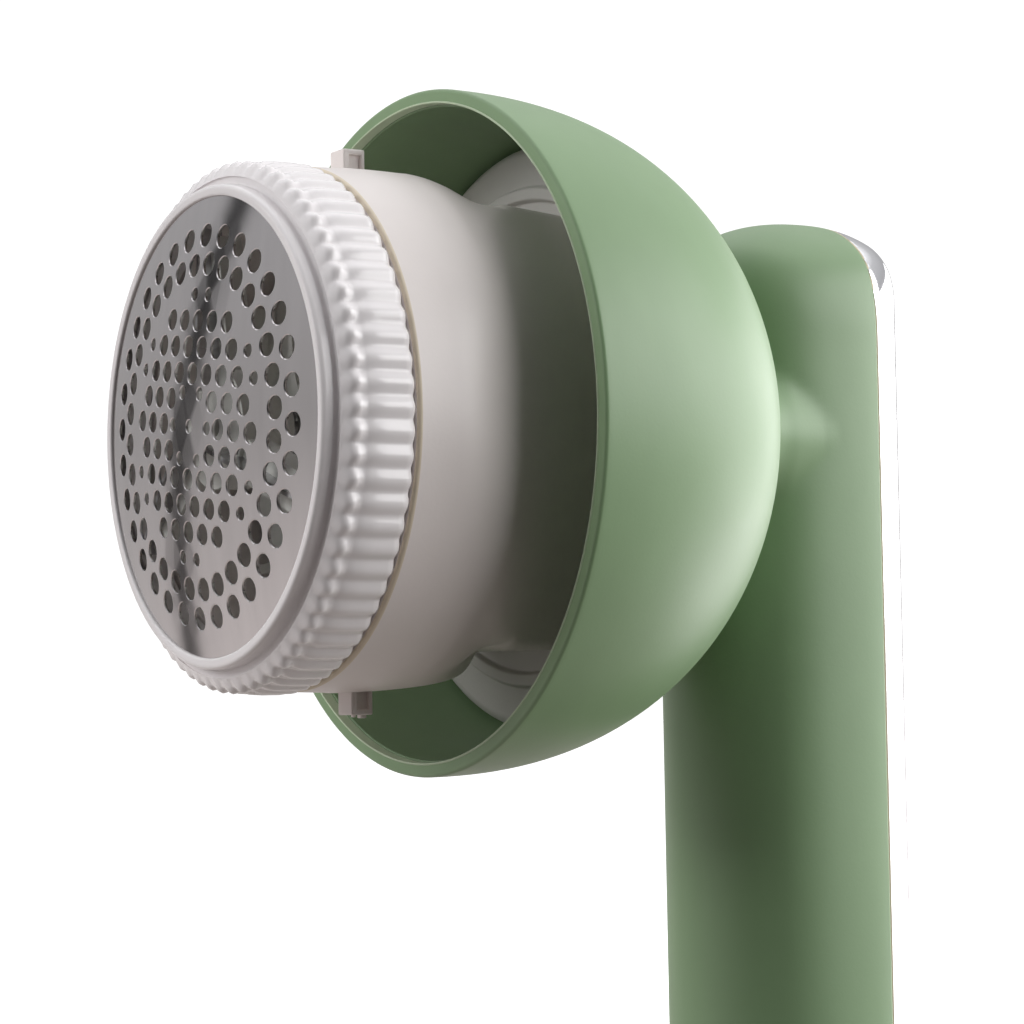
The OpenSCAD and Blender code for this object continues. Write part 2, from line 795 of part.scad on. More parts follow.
module power_button() {
    proud = 0.8;
    color([0.55, 0.66, 0.53]) difference() {
        union() {
            intersection() {
                translate([0, button_back_y - 1, button_z]) rotate([-90, 0, 0])
                    pill(button_w, button_h, 8);
                cylinder(r = handle_r + proud, h = handle_h);
            }
            intersection() {
                translate([0, button_back_y - 1, button_z]) rotate([-90, 0, 0])
                    pill(button_w + 3, button_h + 3, 8);
                cylinder(r = cavity_r - gap, h = handle_h);
            }
        }
        block([-3.6, 0, button_z - 3.6], [3.6, button_back_y, button_z + 3.6]);
    }
}

handle_front_shell();
handle_back_cover();
base_cap();
base_screw();
bowl_shell();
bowl_screws();
inner_plate();
plate_screws();
head_housing();
neck_screws();
motor_mount();
motor_screws();
motor_can();
motor_bush();
motor_magnets();
motor_end_cap();
motor_terminals();
motor_shaft();
motor_armature();
commutator();
suction_fan();
blade_spring();
blade_carrier();
shaving_blades();
foil_ring();
shaving_foil();
foil_retainer();
battery_cell();
battery_tray();
battery_tabs();
battery_leads();
motor_leads();
circuit_board();
board_components();
usb_socket();
charge_led();
light_pipe();
tact_switch();
switch_plunger();
power_button();
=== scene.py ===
"""Fabric shaver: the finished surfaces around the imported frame.

Blender's unit is the metre. Shapes are worked out in millimetres: those of the
head by an angle from its top towards +X, a radius, and a station that counts
back from the foil's outer ring of holes; those of the handle by x, y and z.
"""

import json
import math

import bmesh
import bpy
from mathutils import Matrix, Vector
from mathutils.geometry import delaunay_2d_cdt


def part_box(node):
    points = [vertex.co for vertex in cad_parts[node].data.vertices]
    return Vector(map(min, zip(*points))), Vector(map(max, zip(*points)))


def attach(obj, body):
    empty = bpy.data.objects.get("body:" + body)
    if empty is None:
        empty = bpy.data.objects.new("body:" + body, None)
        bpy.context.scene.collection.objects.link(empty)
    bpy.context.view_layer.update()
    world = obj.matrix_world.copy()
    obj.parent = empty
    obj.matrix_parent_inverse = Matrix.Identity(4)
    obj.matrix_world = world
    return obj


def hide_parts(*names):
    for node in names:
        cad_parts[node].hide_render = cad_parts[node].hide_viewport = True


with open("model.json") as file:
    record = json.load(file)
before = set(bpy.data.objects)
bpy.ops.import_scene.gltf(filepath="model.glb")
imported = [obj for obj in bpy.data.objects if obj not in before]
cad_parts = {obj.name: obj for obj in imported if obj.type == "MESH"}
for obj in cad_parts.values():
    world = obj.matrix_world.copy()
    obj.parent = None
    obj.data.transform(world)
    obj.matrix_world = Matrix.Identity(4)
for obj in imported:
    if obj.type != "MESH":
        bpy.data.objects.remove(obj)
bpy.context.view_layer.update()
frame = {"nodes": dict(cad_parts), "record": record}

MM = 0.001
TURN = 2 * math.pi

# ---- sizes, in millimetres, as in the CAD model ----
BOWL_R = 37.3
BOWL_RIM_T = 25.65
BOWL_DEPTH = 38.2
BOWL_POWER = 2.3
BOWL_BACK_T = 58.5
BOWL_WALL = 1.8
BORE_R = 4.6
PLATE_R = 32.6
PLATE_T = 40.0
RIBS = 72
RING_BACK_T = 9.6
FOIL_DOME_R = 122.0
FOIL_THICK = 0.35
FOIL_EDGE_R = 24.1
HOLE_RING_R = 20.0
HOLE_RING_2_R = 17.0
HOLE_RING_COUNT = 32
HOLE_RING_START = math.radians(3.6)
HOLE_PITCH = 3.18
FIELD_TURN = math.radians(7.3)
COLLAR_R = 27.9
COLLAR_FRONT_T = 9.9
SPIGOT_R = 24.2
SPIGOT_FRONT_T = 4.9
CHAMBER_R = 22.3
MOUNT_BACK_T = 22.0
COLLAR_FLARE = 0.3
NECK_START_T = 14.0
NECK_HALF_H = 23.7
NECK_WALL = 1.9
NECK_BLEND = 1.2
SHOULDER_T = 24.5
SHOULDER_LEAD = 4.5
SHOULDER_DEPTH = 8.0
SHOULDER_DROP = 6.0
LUG_FRONT_T = 16.4
LUG_BACK_T = 19.0
LUG_HALF_W = 1.5
LUG_ROOT_R = 27.2
LUG_TIP_R = 30.35
LUG_RIM = 0.6
HANDLE_R = 14.0
HANDLE_WALL = 1.8
SPLIT_Y = 5.0
SPLIT_GAP = 0.02
SPLIT_STRIP = 0.22
HANDLE_STEPS = 240

bowl_low, bowl_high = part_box("bowl_shell")
button_low, button_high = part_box("power_button")
_, cover_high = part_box("handle_back_cover")
pipe_low, pipe_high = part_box("light_pipe")
HEAD_Z = (bowl_low.z + bowl_high.z) / 2 / MM
HOLE_PLANE_Y = bowl_low.y / MM - BOWL_RIM_T
HANDLE_TOP = cover_high.z / MM
BUTTON_Z = (button_low.z + button_high.z) / 2 / MM
LED_Z = (pipe_low.z + pipe_high.z) / 2 / MM


# ---- mesh helpers ----
def at_head(r, angle, t):
    """A point of the head in the row's frame, in metres."""
    return Vector((r * math.sin(angle), t + HOLE_PLANE_Y, HEAD_Z + r * math.cos(angle))) * MM


def clamp(value):
    return min(max(value, 0), 1)


def ease(value):
    """An S-shaped step from 0 to 1."""
    share = clamp(value)
    return share * share * (3 - 2 * share)


def smooth_max(a, b, k):
    """The larger of two numbers, blended where they differ by less than k."""
    h = max(k - abs(a - b), 0) / k
    return max(a, b) + h * h * k / 4


def smooth_min(a, b, k):
    return -smooth_max(-a, -b, k)


def rounded(corners, steps=4):
    """A closed outline whose corners, each (r, t, radius), are rounded."""
    outline = []
    for i, (r, t, radius) in enumerate(corners):
        corner = Vector((r, t))
        if not radius:
            outline.append(tuple(corner))
            continue
        before = Vector(corners[i - 1][:2]) - corner
        after = Vector(corners[(i + 1) % len(corners)][:2]) - corner
        cut = radius / math.tan(before.angle(after) / 2)
        cut = min(cut, 0.48 * before.length, 0.48 * after.length)
        start = corner + before.normalized() * cut
        end = corner + after.normalized() * cut
        for k in range(steps + 1):
            s = k / steps
            outline.append(tuple(start * (1 - s) ** 2 + corner * 2 * s * (1 - s) + end * s * s))
    return outline


def make_piece(name, verts, faces, sharp=40):
    """A smooth-shaded mesh object with outward normals."""
    mesh = bpy.data.meshes.new(name)
    mesh.from_pydata(verts, [], faces)
    tidy = bmesh.new()
    tidy.from_mesh(mesh)
    bmesh.ops.recalc_face_normals(tidy, faces=tidy.faces)
    tidy.to_mesh(mesh)
    tidy.free()
    mesh.shade_smooth()
    mesh.set_sharp_from_angle(angle=math.radians(sharp))
    piece = bpy.data.objects.new(name, mesh)
    bpy.context.scene.collection.objects.link(piece)
    return piece


def lathe(name, section, steps, sharp=40):
    """A closed ring about the head's axis. section(angle) lists its (r, t) corners."""
    verts, faces = [], []
    count = len(section(0))
    for i in range(steps):
        angle = TURN * i / steps
        verts += [at_head(r, angle, t) for r, t in section(angle)]
        here, there = i * count, (i + 1) % steps * count
        for j in range(count):
            k = (j + 1) % count
            faces.append((here + j, there + j, there + k, here + k))
    return make_piece(name, verts, faces, sharp)


def weigh_normals(piece):
    """Lets large faces set the shading, so that flats stay flat beside round edges."""
    modifier = piece.modifiers.new("weigh normals", "WEIGHTED_NORMAL")
    modifier.keep_sharp = True


def dress(piece, body, slot, *materials):
    """Puts a finished piece on its body, with its materials. The slot is not used."""
    for material in materials:
        piece.data.materials.append(material)
    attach(piece, body)


# ---- materials ----
class Look:
    """A node material under construction."""

    def __init__(self, name, roughness, metallic=0.0, **constants):
        self.material = bpy.data.materials.new(name)
        self.material.use_nodes = True
        self.nodes = self.material.node_tree.nodes
        self.links = self.material.node_tree.links
        self.shader = self.nodes["Principled BSDF"]
        self.shader.inputs["Roughness"].default_value = roughness
        self.shader.inputs["Metallic"].default_value = metallic
        for socket, value in constants.items():
            self.shader.inputs[socket.replace("_", " ")].default_value = value
        self.place = self.nodes.new("ShaderNodeTexCoord").outputs["Object"]

    def noise(self, scale, detail=3.0, stretch=(1, 1, 1), distortion=0.0):
        """Noise of about `scale` cells a metre, stretched along the axes."""
        mapping = self.nodes.new("ShaderNodeMapping")
        mapping.inputs["Scale"].default_value = stretch
        self.links.new(self.place, mapping.inputs["Vector"])
        texture = self.nodes.new("ShaderNodeTexNoise")
        texture.inputs["Scale"].default_value = scale
        texture.inputs["Detail"].default_value = detail
        texture.inputs["Distortion"].default_value = distortion
        self.links.new(mapping.outputs["Vector"], texture.inputs["Vector"])
        return texture.outputs["Fac"]

    def ramp(self, value, low, high, start=0.3, end=0.7):
        """Turns a 0 to 1 value into a colour between two colours."""
        node = self.nodes.new("ShaderNodeValToRGB")
        first, last = node.color_ramp.elements
        first.position, first.color = start, (*low, 1)
        last.position, last.color = end, (*high, 1)
        self.links.new(value, node.inputs["Fac"])
        return node.outputs["Color"]

    def span(self, value, low, high):
        """Rescales a 0 to 1 value."""
        node = self.nodes.new("ShaderNodeMapRange")
        node.inputs["To Min"].default_value = low
        node.inputs["To Max"].default_value = high
        self.links.new(value, node.inputs["Value"])
        return node.outputs["Result"]

    def mix(self, factor, first, second):
        """Mixes two colour outputs by a value."""
        node = self.nodes.new("ShaderNodeMix")
        node.data_type = "RGBA"
        self.links.new(factor, node.inputs["Factor"])
        self.links.new(first, node.inputs["A"])
        self.links.new(second, node.inputs["B"])
        return node.outputs["Result"]

    def colour(self, output):
        self.links.new(output, self.shader.inputs["Base Color"])

    def roughness(self, value, low, high):
        self.links.new(self.span(value, low, high), self.shader.inputs["Roughness"])

    def bump(self, height, depth_mm, strength=1.0):
        node = self.nodes.new("ShaderNodeBump")
        node.inputs["Distance"].default_value = depth_mm * MM
        node.inputs["Strength"].default_value = strength
        self.links.new(height, node.inputs["Height"])
        if self.shader.inputs["Normal"].is_linked:
            before = self.shader.inputs["Normal"].links[0].from_socket
            self.links.new(before, node.inputs["Normal"])
        self.links.new(node.outputs["Normal"], self.shader.inputs["Normal"])


def shade(colour, factor):
    return tuple(min(c * factor, 1) for c in colour)


def plastic(name, base, roughness, mottle=0.06, grain_mm=0.01, **constants):
    """Moulded plastic: cloudy colour, uneven gloss and a fine grain."""
    look = Look(name, roughness, **constants)
    clouds = look.noise(70, detail=4)
    look.colour(look.ramp(clouds, shade(base, 1 - mottle), shade(base, 1 + mottle)))
    look.roughness(look.noise(160, detail=2), roughness * 0.88, roughness * 1.12)
    look.bump(look.noise(2600, detail=2), grain_mm)
    look.bump(look.noise(220, detail=1), 2.2 * grain_mm)
    return look.material


def metal(name, base, roughness, streak=(1, 1, 1), scratch_mm=0.002, **constants):
    """Bare metal: streaked colour and gloss, with fine lines."""
    look = Look(name, roughness, metallic=1.0, **constants)
    lines = look.noise(900, detail=5, stretch=streak)
    look.colour(look.ramp(lines, shade(base, 0.86), shade(base, 1.1)))
    look.roughness(look.noise(500, detail=4, stretch=streak), roughness * 0.8, roughness * 1.25)
    look.bump(lines, scratch_mm)
    return look.material


def banded(name, base, other, pitch_mm, roughness, metallic, axis="Z"):
    """A wound or striped surface: regular bands along one axis."""
    look = Look(name, roughness, metallic=metallic)
    wave = look.nodes.new("ShaderNodeTexWave")
    wave.bands_direction = axis
    wave.inputs["Scale"].default_value = 1 / (pitch_mm * MM * 3.2)
    wave.inputs["Distortion"].default_value = 0.4
    look.links.new(look.place, wave.inputs["Vector"])
    look.colour(look.ramp(wave.outputs["Fac"], base, other))
    look.roughness(look.noise(700), roughness * 0.85, roughness * 1.15)
    look.bump(wave.outputs["Fac"], 0.05)
    return look.material


def circuit_look(name, base):
    """Solder mask over a net of copper tracks."""
    look = Look(name, 0.3, Coat_Weight=0.4)
    brick = look.nodes.new("ShaderNodeTexBrick")
    brick.inputs["Scale"].default_value = 420
    brick.inputs["Mortar Size"].default_value = 0.03
    brick.inputs["Color1"].default_value = (*base, 1)
    brick.inputs["Color2"].default_value = (*shade(base, 1.25), 1)
    brick.inputs["Mortar"].default_value = (*shade(base, 2.4), 1)
    turn = look.nodes.new("ShaderNodeMapping")
    turn.inputs["Rotation"].default_value = (math.pi / 2, 0, 0)
    look.links.new(look.place, turn.inputs["Vector"])
    look.links.new(turn.outputs["Vector"], brick.inputs["Vector"])
    look.colour(brick.outputs["Color"])
    look.bump(brick.outputs["Fac"], 0.03)
    look.roughness(look.noise(900), 0.24, 0.38)
    return look.material


def painted_green(name, base):
    """The hood's and handle's satin soft paint, faintly cloudy and rubbed."""
    look = Look(name, 0.42, Coat_Weight=0.1, Coat_Roughness=0.4)
    clouds = look.noise(38, detail=5, distortion=0.4)
    rubbed = look.noise(260, detail=6, stretch=(1, 1, 0.35))
    body = look.ramp(clouds, shade(base, 0.95), shade(base, 1.06), 0.25, 0.75)
    pale = look.ramp(clouds, shade(base, 1.04), shade(base, 1.15), 0.25, 0.75)
    look.colour(look.mix(look.span(rubbed, -0.25, 0.6), body, pale))
    look.roughness(look.noise(120, detail=4), 0.36, 0.5)
    look.bump(look.noise(3200, detail=2), 0.008)
    look.bump(look.noise(300, detail=2), 0.012)
    return look.material


def chrome_look(name, base):
    """Bright plating over moulded plastic: almost even, with long faint waves."""
    look = Look(name, 0.07, metallic=1.0)
    waves = look.noise(45, detail=2, stretch=(1, 1, 0.3))
    look.colour(look.ramp(waves, shade(base, 0.97), shade(base, 1.02)))
    look.roughness(look.noise(150, detail=3), 0.05, 0.1)
    look.bump(waves, 0.004)
    return look.material


def foil_look(name, base):
    """Polished spring steel with faint up-and-down polishing lines."""
    look = Look(name, 0.09, metallic=1.0)
    lines = look.noise(520, detail=6, stretch=(1, 1, 0.08))
    clouds = look.noise(90, detail=3)
    look.colour(look.ramp(lines, shade(base, 0.97), shade(base, 1.03)))
    look.roughness(clouds, 0.07, 0.14)
    look.bump(lines, 0.0003)
    return look.material


record_looks = {m["slot"]: tuple(m["base_color"]) for m in frame["record"]["materials"]}


def slot_material(slot):
    """The material for one of the record's slots."""
    base = record_looks[slot]
    makers = {
        "green_plastic": lambda: painted_green(slot, base),
        "button_green": lambda: painted_green(slot, base),
        "chrome": lambda: chrome_look(slot, base),
        "foil_steel": lambda: foil_look(slot, base),
        "white_plastic": lambda: plastic(slot, base, 0.26, 0.015, 0.003, Coat_Weight=0.4),
        "cream_plastic": lambda: plastic(slot, base, 0.38, 0.03, 0.008),
        "grey_plastic": lambda: plastic(slot, base, 0.5, 0.05, 0.012),
        "nylon_white": lambda: plastic(slot, base, 0.5, 0.04, 0.015),
        "black_plastic": lambda: plastic(slot, base, 0.45, 0.2, 0.015),
        "switch_grey": lambda: plastic(slot, base, 0.5, 0.08, 0.01),
        "lead_red": lambda: plastic(slot, base, 0.35, 0.1, 0.006),
        "led_lens": lambda: plastic(slot, base, 0.12, 0.03, 0.002, Transmission_Weight=0.5),
        "magnet": lambda: plastic(slot, base, 0.6, 0.15, 0.03),
        "cell_wrap": lambda: banded(slot, base, shade(base, 1.35), 24, 0.25, 0.0),
        "copper_winding": lambda: banded(slot, base, shade(base, 1.5), 0.35, 0.3, 1.0, "Y"),
        "board_green": lambda: circuit_look(slot, base),
    }
    if slot in makers:
        return makers[slot]()
    return metal(slot, base, 0.28, streak=(1, 0.1, 1))


looks = {slot: slot_material(slot) for slot in record_looks}
for part in frame["record"]["subparts"]:
    skin = frame["nodes"][part["node"]].data
    skin.materials.clear()
    skin.materials.append(looks[part["material_slot"]])

rim_line = plastic("rim_flash_line", (0.5, 0.6, 0.42), 0.4)
# painted shade: the bowl's inside faces get a darker copy of the green, standing in for the shade in
# its hollow
bowl_inside_painted_shade = painted_green("bowl_inside_painted_shade", shade(record_looks["green_plastic"], 0.78))
# painted highlight: a pale beige strip for the bright edge line at the handle's seam
seam_highlight = plastic("seam_painted_highlight", (0.75, 0.66, 0.47), 0.5)
collar_edge = plastic("collar_edge", (0.78, 0.68, 0.53), 0.45)


# ---- the bowl-shaped hood ----
def bowl_radius(t, inset):
    share = (t - BOWL_RIM_T) / (BOWL_DEPTH - inset)
    return (BOWL_R - inset) * (1 - share ** BOWL_POWER) ** (1 / BOWL_POWER)


def bowl_side(inset, back_t, front_t, steps=40):
    """Half of the bowl's curve, from its back to its rim."""
    reach = math.asin((front_t - BOWL_RIM_T) / (back_t - BOWL_RIM_T))
    for i in range(steps + 1):
        phase = reach + (math.pi / 2 - reach) * (1 - i / steps)
        t = BOWL_RIM_T + (back_t - BOWL_RIM_T) * math.sin(phase)
        yield bowl_radius(t, inset), t


def make_bowl():
    lip_r = BOWL_R - 1.55
    step_t = BOWL_RIM_T + 1.2
    inner_back = BOWL_BACK_T - BOWL_WALL
    outer = list(bowl_side(0, BOWL_BACK_T - 0.6, BOWL_RIM_T + 0.9))
    inner = list(bowl_side(BOWL_WALL, inner_back - 0.5, step_t + 0.4))
    corners = [(BORE_R, BOWL_BACK_T, 0.3), (outer[0][0] - 1.3, BOWL_BACK_T, 0.9)]
    corners += [(r, t, 0) for r, t in outer]
    corners += [(BOWL_R, BOWL_RIM_T, 0.45), (lip_r + 0.22, BOWL_RIM_T, 0)]
    line_start = len(rounded(corners))
    corners += [(lip_r + 0.14, BOWL_RIM_T - 0.1, 0.04), (lip_r, BOWL_RIM_T - 0.06, 0.04)]
    line_end = len(rounded(corners))
    corners += [(lip_r - 0.02, BOWL_RIM_T + 0.2, 0), (lip_r - 0.05, step_t, 0.15)]
    corners += [(inner[-1][0], step_t, 0.1)]
    corners += [(r, t, 0) for r, t in reversed(inner)]
    corners += [(inner[0][0] - 1.2, inner_back, 0.6), (BORE_R, inner_back, 0)]
    section = rounded(corners)
    piece = lathe("bowl_skin", lambda angle: section, 256)
    weigh_normals(piece)
    dress(piece, "body", "green_plastic", looks["green_plastic"], rim_line, bowl_inside_painted_shade)
    count = len(section)
    # the rim's pale line takes slot 1, and the faces inside the rim take slot 2, the darker green of
    # painted shade
    for i, face in enumerate(piece.data.polygons):
        face.material_index = int(i % count >= line_start - 1) + int(i % count > line_end)
    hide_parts("bowl_shell")


# ---- the pale plate inside the bowl ----
def make_plate():
    back = PLATE_T + 2
    section = rounded([
        (11.5, PLATE_T, 0.2), (26.1, PLATE_T, 0.25), (26.35, PLATE_T - 0.8, 0.3),
        (27.6, PLATE_T - 0.8, 0.3), (27.9, PLATE_T, 0.3), (31.8, PLATE_T + 0.15, 2.0),
        (PLATE_R, PLATE_T + 0.9, 0.4), (PLATE_R, back, 0.2), (11.5, back, 0.2)])
    piece = lathe("inner_plate_skin", lambda angle: section, 192)
    weigh_normals(piece)
    dress(piece, "body", "grey_plastic", looks["grey_plastic"])
    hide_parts("inner_plate")


# ---- the head housing: collar, neck and cap lugs ----
def super_radius(angle, half_w, half_h, power):
    across = abs(math.sin(angle)) / half_w
    up = abs(math.cos(angle)) / half_h
    return (across ** power + up ** power) ** (-1 / power)


def housing_radius(angle, t):
    """The housing's outside: a round shoulder that runs into a flat-topped neck."""
    share = clamp((t - NECK_START_T) / 30)
    side = super_radius(angle, 29.2 - 9.7 * share, 29.0 - 4.2 * share, 2.3)
    flat = min(NECK_HALF_H / max(abs(math.cos(angle)), 0.01), 33)
    # the shoulder falls away sooner beside the neck's corners than at its middle
    lean = ease(math.acos(min(abs(math.cos(angle)), 1)) / math.radians(20))
    start = SHOULDER_T - SHOULDER_LEAD * lean
    if t < start:
        flare = (t - COLLAR_FRONT_T) / (SHOULDER_T - COLLAR_FRONT_T)
        shoulder = COLLAR_R + COLLAR_FLARE * flare
    else:
        level = COLLAR_R + COLLAR_FLARE - SHOULDER_DROP
        fall = (t - start) / SHOULDER_DEPTH
        shoulder = level + SHOULDER_DROP * math.sqrt(max(1 - fall ** 2, 0))
    square = ease((t - 21) / 9)
    cap = shoulder + (smooth_max(shoulder, flat, NECK_BLEND) - shoulder) * square
    return smooth_min(cap, side, NECK_BLEND)


def housing_section(angle):
    inner = min(super_radius(angle, 19, 21.8, 3) - NECK_WALL, CHAMBER_R - 0.3)
    front = rounded([
        (CHAMBER_R, SPIGOT_FRONT_T, 0.2), (SPIGOT_R, SPIGOT_FRONT_T, 0.3),
        (SPIGOT_R, COLLAR_FRONT_T, 0.15), (COLLAR_R - 0.1, COLLAR_FRONT_T, 0.45),
        (COLLAR_R + 0.02, NECK_START_T, 0)])
    stations = [NECK_START_T + 0.75 * i for i in range(1, 19)] + [28 + 0.3 * i for i in range(19)]
    stations += [34 + i for i in range(6)]
    side = [(housing_radius(angle, t), t) for t in stations]
    back = [(side[-1][0], PLATE_T), (inner, PLATE_T), (inner, MOUNT_BACK_T),
            (CHAMBER_R, MOUNT_BACK_T)]
    return front + side + back


def lug_block(bm, side, x0, x1, t0, t1, r0, r1, edge=0.2):
    """A block of a cap lug, from radius r0 to r1 above (1) or below (-1) the collar."""
    made = bmesh.ops.create_cube(bm, size=1)["verts"]
    for v in made:
        x = x0 + (v.co.x + 0.5) * (x1 - x0)
        t = t0 + (v.co.y + 0.5) * (t1 - t0)
        r = r0 + (v.co.z + 0.5) * (r1 - r0)
        v.co = Vector((x, t + HOLE_PLANE_Y, HEAD_Z + side * r)) * MM
    if side < 0:
        bmesh.ops.reverse_faces(bm, faces=list({f for v in made for f in v.link_faces}))
    edges = list({e for v in made for e in v.link_edges})
    bmesh.ops.bevel(bm, geom=edges, offset=edge * MM, segments=3, affect="EDGES", profile=0.6)


def make_lug(bm, side):
    """A core with a front wall, a back wall and a top, so that both sides are recessed."""
    front, back, root, tip, wide = LUG_FRONT_T, LUG_BACK_T, LUG_ROOT_R, LUG_TIP_R, LUG_HALF_W
    lug_block(bm, side, -1.0, 1.0, front + 0.3, back - 0.3, root, tip - 0.3)
    lug_block(bm, side, -wide, wide, front, front + 0.75, root, tip)
    lug_block(bm, side, -wide, wide, back - 0.45, back, root, tip)
    lug_block(bm, side, -wide, wide, front + 0.3, back - 0.2, tip - LUG_RIM, tip)


def make_gate_stubs(bm):
    """What the moulding gate left under the lower lug."""
    front, root = LUG_FRONT_T, LUG_TIP_R - 0.3
    lug_block(bm, -1, -0.9, -0.3, front + 1.2, front + 1.5, root, LUG_TIP_R + 0.25, 0.1)
    lug_block(bm, -1, 0.1, 1.0, front + 1.4, front + 2.1, root, LUG_TIP_R + 0.35, 0.15)


def make_housing():
    piece = lathe("head_housing_skin", housing_section, 288)
    bm = bmesh.new()
    bm.from_mesh(piece.data)
    for side in (1, -1):
        make_lug(bm, side)
    make_gate_stubs(bm)
    bm.to_mesh(piece.data)
    bm.free()
    piece.data.shade_smooth()
    piece.data.set_sharp_from_angle(angle=math.radians(40))
    weigh_normals(piece)
    dress(piece, "body", "cream_plastic", looks["cream_plastic"], collar_edge)
    head = at_head(0, 0, 0)
    for face in piece.data.polygons:
        t = (face.center.y - head.y) / MM
        r = math.hypot(face.center.x, face.center.z - head.z) / MM
        face.material_index = int(r > 26.5 and t < COLLAR_FRONT_T + 0.45)
    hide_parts("head_housing")


# ---- the ribbed foil ring ----
def ring_section(angle):
    """The ring's section: lip, groove, flat face, rib beads and ribs, then its bore."""
    rib = (0.5 + 0.5 * math.cos(RIBS * angle)) ** 0.75
    front = rounded([
        (FOIL_EDGE_R, 1.1, 0), (FOIL_EDGE_R, 0.5, 0.35), (25.3, 0.45, 0.5), (25.35, 2.2, 0.3),
        (26.9, 2.25, 0.2)])
    outer = [(27.1 + 0.15 * rib, 2.45), (27.3 + 0.4 * rib, 2.75), (27.35 + 0.55 * rib, 3.15),
             (27.35 + 0.5 * rib, 3.5), (27.35 + 0.3 * rib, 3.9), (27.5 + 0.25 * rib, 4.4),
             (27.65 + 0.33 * rib, 5.0), (27.7 + 0.38 * rib, 6.5), (27.7 + 0.38 * rib, 8.6),
             (27.6 + 0.4 * rib, 9.2), (27.35 + 0.4 * rib, 9.5), (27.0 + 0.3 * rib, RING_BACK_T)]
    bore = [(25.65, RING_BACK_T), (25.65, 4.6), (24.7, 4.6), (24.7, 1.1)]
    return front + outer + bore


def make_ring():
    piece = lathe("foil_ring_skin", ring_section, RIBS * 12, sharp=50)
    weigh_normals(piece)
    dress(piece, "foil_cap", "white_plastic", looks["white_plastic"])
    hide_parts("foil_ring")


# ---- the shaving foil ----
def foil_holes():
    """Every hole of the foil as (x, y, radius), seen from the front with +X to the left."""
    holes = []
    for i in range(HOLE_RING_COUNT):
        for r, turn in ((HOLE_RING_R, 0), (HOLE_RING_2_R, 0.5)):
            a = TURN * (i + turn) / HOLE_RING_COUNT + HOLE_RING_START
            holes.append((r * math.sin(a), r * math.cos(a), 1.2))
    step = HOLE_PITCH
    rise = step * math.sqrt(3) / 2
    holes.append((0, 0, 0.68))
    for side in range(6):
        turn = TURN * side / 6 + FIELD_TURN
        spots = [(n * step - k * step / 2, k * rise, 1.1) for n in (2, 3, 4) for k in range(n)]
        spots += [(5 * step - k * step / 2, k * rise, 0.68) for k in (2, 3)]
        spots.append((4, 0, 0.68))
        for u, v, r in spots:
            # u runs to +X at a quarter turn from the top
            holes.append((u * math.cos(turn) + v * math.sin(turn),
                          v * math.cos(turn) - u * math.sin(turn), r))
    return holes


def foil_point(x, y, depth=0.0):
    """A point of the foil's dome, in metres."""
    centre = math.sqrt(FOIL_DOME_R ** 2 - HOLE_RING_R ** 2)
    t = centre - math.sqrt((FOIL_DOME_R - depth) ** 2 - x * x - y * y)
    return Vector((x, t + HOLE_PLANE_Y, HEAD_Z + y)) * MM


def circle(x, y, r, count):
    return [Vector((x + r * math.cos(TURN * i / count), y + r * math.sin(TURN * i / count)))
            for i in range(count)]


def make_foil():
    holes = foil_holes()
    edge = 0.1
    points, edges, loops = [], [], []
    for x, y, r in [(0, 0, FOIL_EDGE_R)] + [(x, y, r + edge) for x, y, r in holes]:
        count = 160 if r == FOIL_EDGE_R else 22
        first = len(points)
        points += circle(x, y, r, count)
        edges += [(first + i, first + (i + 1) % count) for i in range(count)]
        loops.append(range(first, first + count))
    for r in (22.1, 23.1):
        points += circle(0, 0, r, 120)
    flat, _, tris, origin, _, _ = delaunay_2d_cdt(points, edges, [], 0, 1e-6)
    spot = {old: new for new, olds in enumerate(origin) for old in olds}

    def keeps(tri):
        middle = sum((flat[i] for i in tri), Vector((0, 0))) / 3
        return all((middle - Vector((x, y))).length > 0.985 * (r + edge) for x, y, r in holes)

    tris = [tri for tri in tris if keeps(tri)]
    top = [foil_point(*p) for p in flat]
    bottom = [foil_point(*p, depth=FOIL_THICK) for p in flat]
    verts = top + bottom
    faces = list(tris) + [tuple(len(flat) + i for i in reversed(tri)) for tri in tris]
    for (x, y, r), loop in zip(holes, loops[1:]):
        upper = [spot[i] for i in loop]
        first = len(verts)
        verts += [foil_point(*p, depth=0.07) for p in circle(x, y, r, len(upper))]
        for i in range(len(upper)):
            j = (i + 1) % len(upper)
            faces.append((upper[i], upper[j], first + j, first + i))
            faces.append((first + i, first + j, len(flat) + upper[j], len(flat) + upper[i]))
    rim = [spot[i] for i in loops[0]]
    count = len(rim)
    first = len(verts)
    for r, t in ((24.12, 1.1), (24.7, 1.1), (24.7, 1.5), (24.0, 1.5)):
        verts += [Vector((p.x, t + HOLE_PLANE_Y, HEAD_Z + p.y)) * MM
                  for p in circle(0, 0, r, count)]
    rows = [rim] + [range(first + count * i, first + count * (i + 1)) for i in range(4)]
    rows.append([len(flat) + i for i in rim])
    for upper, lower in zip(rows, rows[1:]):
        for i in range(count):
            j = (i + 1) % count
            faces.append((upper[i], upper[j], lower[j], lower[i]))
    piece = make_piece("shaving_foil_skin", verts, faces, sharp=20)
    weigh_normals(piece)
    dress(piece, "foil_cap", "foil_steel", looks["foil_steel"])
    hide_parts("shaving_foil")


# ---- the handle's two shells ----
CREST_Y = 2.4
CREST_DROP_FRONT = 11.0
CREST_DROP_BACK = 9.0
CREST_POWER = 2.3
FOOT_EDGE = 1.7
PLAIN_TOP_Z = 118.0
STEM_FRONT_Y = BOWL_BACK_T + HOLE_PLANE_Y
STEM_LENGTH = 13.0
STEM_HALF_W = 12.9
STEM_HALF_H = 6.6
STEM_FILLET = 3.2
STEM_ZONE = 30.0


